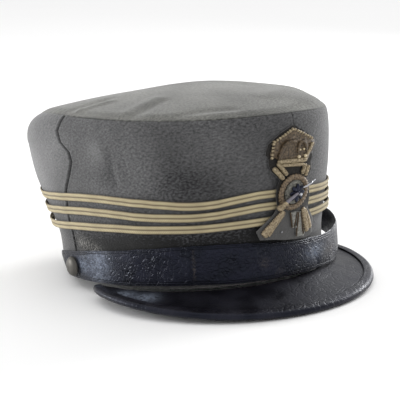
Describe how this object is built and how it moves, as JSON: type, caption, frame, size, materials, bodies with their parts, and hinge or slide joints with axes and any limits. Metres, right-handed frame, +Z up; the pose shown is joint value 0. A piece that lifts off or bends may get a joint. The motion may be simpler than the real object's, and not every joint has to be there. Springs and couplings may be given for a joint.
{
  "type": "military kepi cap",
  "caption": "Stiff grey cloth kepi with a domed top, rows of twin-cord braid, a bound leather peak, a leather chin strap with side buttons and a wire badge.",
  "frame": {"origin": "under the middle of the cap's bounding box, on the surface that it stands on", "axes": "+Z up, -Y towards the peak, +Y towards the back of the head, +X towards the wearer's left"},
  "size_m": [0.2004, 0.257, 0.1313],
  "materials": {
    "cloth": "worn grey wool cloth over a stiff base",
    "badge_cloth": "grey-green wool cloth",
    "lace": "pale straw twin-cord lace",
    "leather": "black polished leather, crazed with age",
    "button_metal": "dull grey, rubbed",
    "gold_wire": "tarnished gilt wire embroidery",
    "dark_metal": "blackened",
    "silver": "bright silver"
  },
  "bodies": {
    "root": {"crown_side": "cloth", "crown_top": "cloth", "braid_lower": "lace", "braid_middle": "lace", "braid_upper": "lace", "peak": "leather", "peak_binding": "leather", "chin_strap": "leather", "side_button_right": "button_metal", "side_button_left": "button_metal", "badge_backing": "badge_cloth", "badge_crown": "gold_wire", "badge_arm_right": "gold_wire", "badge_arm_left": "gold_wire", "badge_stave_right": "gold_wire", "badge_stave_left": "gold_wire", "badge_tongue_right": "badge_cloth", "badge_tongue_left": "badge_cloth", "badge_ring": "gold_wire", "badge_disc": "badge_cloth", "badge_rosette": "dark_metal", "badge_stud": "silver", "badge_pin_handle": "gold_wire", "badge_pin_tip": "silver"}
  },
  "joints": []
}
